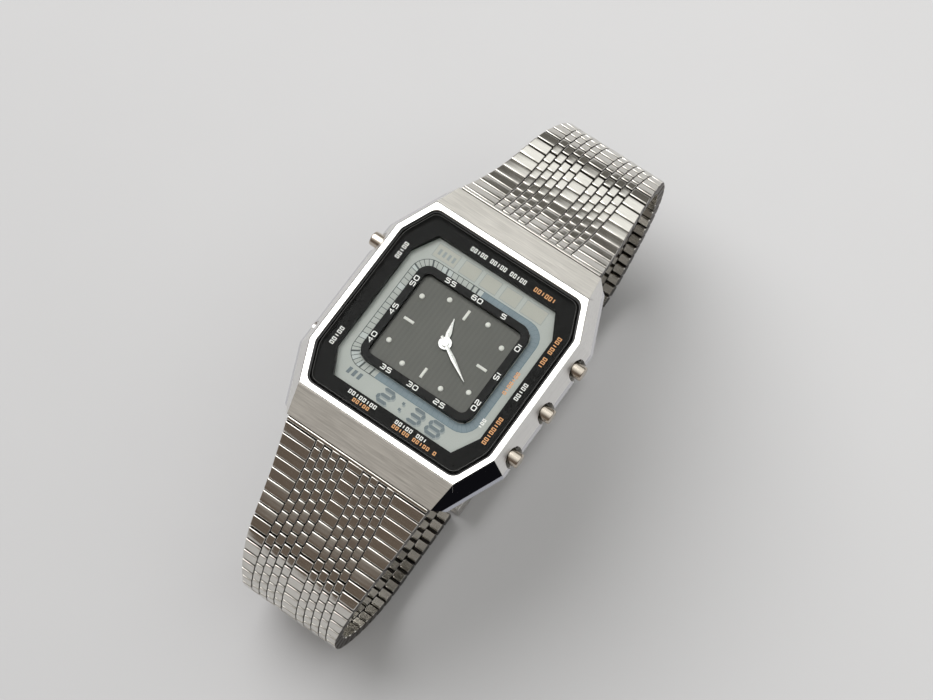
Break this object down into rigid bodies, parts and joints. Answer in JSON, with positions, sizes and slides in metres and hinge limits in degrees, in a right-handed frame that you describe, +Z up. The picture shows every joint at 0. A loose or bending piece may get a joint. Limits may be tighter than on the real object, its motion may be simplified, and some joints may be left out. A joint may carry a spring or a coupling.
{
  "type": "wristwatch",
  "caption": "Hooded ana-digi wristwatch: octagonal glass over an LCD with a small two-hand dial, push buttons, brick-pattern steel bracelet and folding clasp.",
  "frame": {"origin": "centre of the clasp cover's outer flat face, which the watch lies on, below the dial", "axes": "+X to 3 o'clock, +Y to 12 o'clock, +Z up out of the dial"},
  "size_m": [0.0396, 0.0918, 0.041],
  "materials": {
    "brushed_steel": "brushed stainless steel",
    "polished_steel": "polished stainless steel",
    "spring_steel": "bright spring wire",
    "mineral_glass": "clear flat glass with a bevelled edge",
    "seal_rubber": "black rubber",
    "black_frame": "black satin print",
    "lcd_glass": "grey-green liquid crystal cell",
    "dial_grey": "grey striped dial with white marks",
    "hand_white": "white lacquered hands",
    "brass_train": "machined brass",
    "copper_coil": "enamelled copper winding",
    "green_board": "solder mask",
    "dark_resin": "moulded resin"
  },
  "bodies": {
    "case": {"case_body": "brushed_steel", "bezel": "polished_steel", "crystal": "mineral_glass", "crystal_gasket": "seal_rubber", "display_frame": "black_frame", "lcd_panel": "lcd_glass", "minute_ring": "black_frame", "dial": "dial_grey", "main_plate": "brass_train", "train_bridge": "brass_train", "stator": "polished_steel", "coil": "copper_coil", "circuit_board": "green_board", "quartz_can": "polished_steel", "battery": "polished_steel", "battery_clamp": "spring_steel", "elastomer_connectors": "seal_rubber", "module_frame": "dark_resin", "case_back": "brushed_steel", "case_back_gasket": "seal_rubber", "case_back_screws": "polished_steel", "case_spring_bars": "polished_steel", "pusher_bushes": "polished_steel", "end_link_12": "brushed_steel", "end_link_6": "brushed_steel", "spring_2h": "spring_steel", "spring_3h": "spring_steel", "spring_4h": "spring_steel", "spring_10h": "spring_steel"},
    "rotor_body": {"rotor": "polished_steel"},
    "intermediate_body": {"intermediate_wheel": "brass_train"},
    "minute_hand_body": {"centre_wheel": "brass_train", "minute_hand": "hand_white"},
    "minute_wheel_body": {"minute_wheel": "brass_train"},
    "hour_hand_body": {"hour_wheel": "brass_train", "hour_hand": "hand_white"},
    "pusher_2h_body": {"pusher_2h": "polished_steel"},
    "pusher_3h_body": {"pusher_3h": "polished_steel"},
    "pusher_4h_body": {"pusher_4h": "polished_steel"},
    "pusher_10h_body": {"pusher_10h": "polished_steel"},
    "set_button_body": {"set_button": "polished_steel"},
    "section_12_1": {"bracelet_12_1": "brushed_steel"},
    "section_12_2": {"bracelet_12_2": "brushed_steel"},
    "section_12_3": {"bracelet_12_3": "brushed_steel"},
    "section_12_4": {"bracelet_12_4": "brushed_steel"},
    "section_12_5": {"bracelet_12_5": "brushed_steel"},
    "section_12_6": {"bracelet_12_6": "brushed_steel", "clasp_end_pin": "polished_steel"},
    "section_6_1": {"bracelet_6_1": "brushed_steel"},
    "section_6_2": {"bracelet_6_2": "brushed_steel"},
    "section_6_3": {"bracelet_6_3": "brushed_steel"},
    "section_6_4": {"bracelet_6_4": "brushed_steel"},
    "section_6_5": {"bracelet_6_5": "brushed_steel"},
    "section_6_6": {"bracelet_6_6": "brushed_steel"},
    "inner_blade_body": {"clasp_inner_blade": "brushed_steel", "clasp_blade_pin": "polished_steel"},
    "middle_blade_body": {"clasp_middle_blade": "brushed_steel"},
    "cover_body": {"clasp_cover": "brushed_steel", "clasp_cover_pin": "polished_steel", "clasp_spring_bar": "polished_steel"}
  },
  "joints": [
    {"name": "minute_hand_turn", "type": "hinge", "parent": "case", "child": "minute_hand_body", "pos_m": [0, -0.00336, 0.04001], "axis": [0, 0, -1], "continuous": true},
    {"name": "hour_hand_turn", "type": "hinge", "parent": "case", "child": "hour_hand_body", "pos_m": [0, -0.00336, 0.03966], "axis": [0, 0, -1], "continuous": true},
    {"name": "minute_wheel_turn", "type": "hinge", "parent": "case", "child": "minute_wheel_body", "pos_m": [-0.00229, -0.00497, 0.03839], "axis": [0, 0, -1], "continuous": true},
    {"name": "intermediate_turn", "type": "hinge", "parent": "case", "child": "intermediate_body", "pos_m": [-0.00144, -0.00087, 0.03656], "axis": [0, 0, -1], "continuous": true},
    {"name": "rotor_turn", "type": "hinge", "parent": "case", "child": "rotor_body", "pos_m": [-0.00407, 0.00009, 0.03611], "axis": [0, 0, -1], "continuous": true},
    {"name": "press_2h", "type": "slide", "parent": "case", "child": "pusher_2h_body", "axis": [-1, 0, 0], "range_m": [0, 0.0006], "stiffness_N_per_m": 600, "springref_m": -0.0006, "deforming": ["spring_2h"]},
    {"name": "press_3h", "type": "slide", "parent": "case", "child": "pusher_3h_body", "axis": [-1, 0, 0], "range_m": [0, 0.0006], "stiffness_N_per_m": 600, "springref_m": -0.0006, "deforming": ["spring_3h"]},
    {"name": "press_4h", "type": "slide", "parent": "case", "child": "pusher_4h_body", "axis": [-1, 0, 0], "range_m": [0, 0.0006], "stiffness_N_per_m": 600, "springref_m": -0.0006, "deforming": ["spring_4h"]},
    {"name": "press_10h", "type": "slide", "parent": "case", "child": "pusher_10h_body", "axis": [1, 0, 0], "range_m": [0, 0.0006], "stiffness_N_per_m": 600, "springref_m": -0.0006, "deforming": ["spring_10h"]},
    {"name": "press_set_button", "type": "slide", "parent": "case", "child": "set_button_body", "axis": [1, 0, 0], "range_m": [0, 0.0004], "stiffness_N_per_m": 400, "springref_m": -0.0004},
    {"name": "bend_12_1", "type": "hinge", "parent": "case", "child": "section_12_1", "pos_m": [0, 0.01949, 0.03719], "axis": [1, 0, 0], "range_deg": [0, 4]},
    {"name": "bend_12_2", "type": "hinge", "parent": "section_12_1", "child": "section_12_2", "pos_m": [0, 0.02913, 0.03136], "axis": [1, 0, 0], "range_deg": [0, 4]},
    {"name": "bend_12_3", "type": "hinge", "parent": "section_12_2", "child": "section_12_3", "pos_m": [0, 0.03943, 0.02703], "axis": [1, 0, 0], "range_deg": [0, 9.5]},
    {"name": "bend_12_4", "type": "hinge", "parent": "section_12_3", "child": "section_12_4", "pos_m": [0, 0.04324, 0.01701], "axis": [1, 0, 0], "range_deg": [0, 13.9]},
    {"name": "bend_12_5", "type": "hinge", "parent": "section_12_4", "child": "section_12_5", "pos_m": [0, 0.03726, 0.00762], "axis": [1, 0, 0], "range_deg": [0, 6.9]},
    {"name": "bend_12_6", "type": "hinge", "parent": "section_12_5", "child": "section_12_6", "pos_m": [0, 0.02792, 0.00153], "axis": [1, 0, 0], "range_deg": [0, 14]},
    {"name": "bend_6_1", "type": "hinge", "parent": "case", "child": "section_6_1", "pos_m": [0, -0.02618, 0.03715], "axis": [-1, 0, 0], "range_deg": [0, 9.2]},
    {"name": "bend_6_2", "type": "hinge", "parent": "section_6_1", "child": "section_6_2", "pos_m": [0, -0.03475, 0.02978], "axis": [-1, 0, 0], "range_deg": [0, 4]},
    {"name": "bend_6_3", "type": "hinge", "parent": "section_6_2", "child": "section_6_3", "pos_m": [0, -0.04321, 0.0225], "axis": [-1, 0, 0], "range_deg": [0, 9.5]},
    {"name": "bend_6_4", "type": "hinge", "parent": "section_6_3", "child": "section_6_4", "pos_m": [0, -0.0457, 0.01176], "axis": [-1, 0, 0], "range_deg": [0, 18.8]},
    {"name": "bend_6_5", "type": "hinge", "parent": "section_6_4", "child": "section_6_5", "pos_m": [0, -0.03842, 0.00335], "axis": [-1, 0, 0], "range_deg": [0, 11.5]},
    {"name": "bend_6_6", "type": "hinge", "parent": "section_6_5", "child": "section_6_6", "pos_m": [0, -0.02749, 0.00125], "axis": [-1, 0, 0], "range_deg": [0, 4.5]},
    {"name": "inner_blade_swing", "type": "hinge", "parent": "section_12_6", "child": "inner_blade_body", "pos_m": [0, 0.01817, 0.00125], "axis": [1, 0, 0], "range_deg": [0, 20]},
    {"name": "middle_blade_unfold", "type": "hinge", "parent": "inner_blade_body", "child": "middle_blade_body", "pos_m": [0, -0.01297, 0.0018], "axis": [-1, 0, 0], "range_deg": [0, 100]},
    {"name": "cover_unfold", "type": "hinge", "parent": "middle_blade_body", "child": "cover_body", "pos_m": [0, 0.01527, 0.0015], "axis": [1, 0, 0], "range_deg": [0, 100]}
  ],
  "couplings": [
    {"joint": "hour_hand_turn", "follows": "minute_hand_turn", "ratio": 0.083333},
    {"joint": "minute_wheel_turn", "follows": "minute_hand_turn", "ratio": -0.33333},
    {"joint": "intermediate_turn", "follows": "minute_hand_turn", "ratio": -5},
    {"joint": "rotor_turn", "follows": "minute_hand_turn", "ratio": 30}
  ]
}
